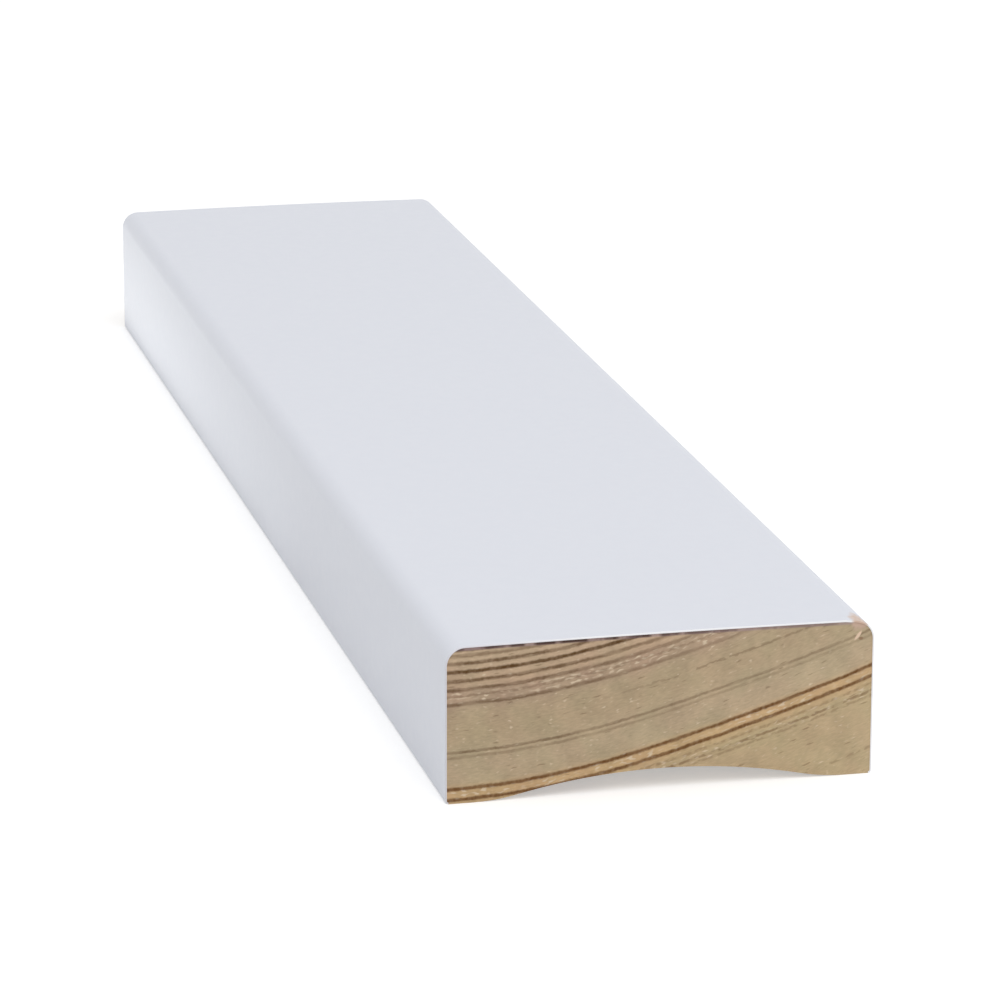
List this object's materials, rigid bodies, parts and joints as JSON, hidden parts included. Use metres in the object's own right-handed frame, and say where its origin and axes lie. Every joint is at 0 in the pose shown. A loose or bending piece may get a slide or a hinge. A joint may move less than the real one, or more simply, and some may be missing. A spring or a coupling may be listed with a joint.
{
  "type": "cover moulding",
  "caption": "Short length of white-painted softwood cover moulding: flat strip with a slightly crowned face, rounded front edges, hollow back and square-cut ends showing bare end grain.",
  "frame": {"origin": "middle of the back, on the plane of the two bearing lands", "axes": "+X across the width, +Y along the length and the grain, +Z out of the painted face"},
  "size_m": [0.043, 0.2, 0.016],
  "materials": {
    "painted_softwood": "smooth white satin paint on the face and sides, bare sawn end grain, planed hollow back"
  },
  "bodies": {
    "root": {"moulding": "painted_softwood"}
  },
  "joints": []
}
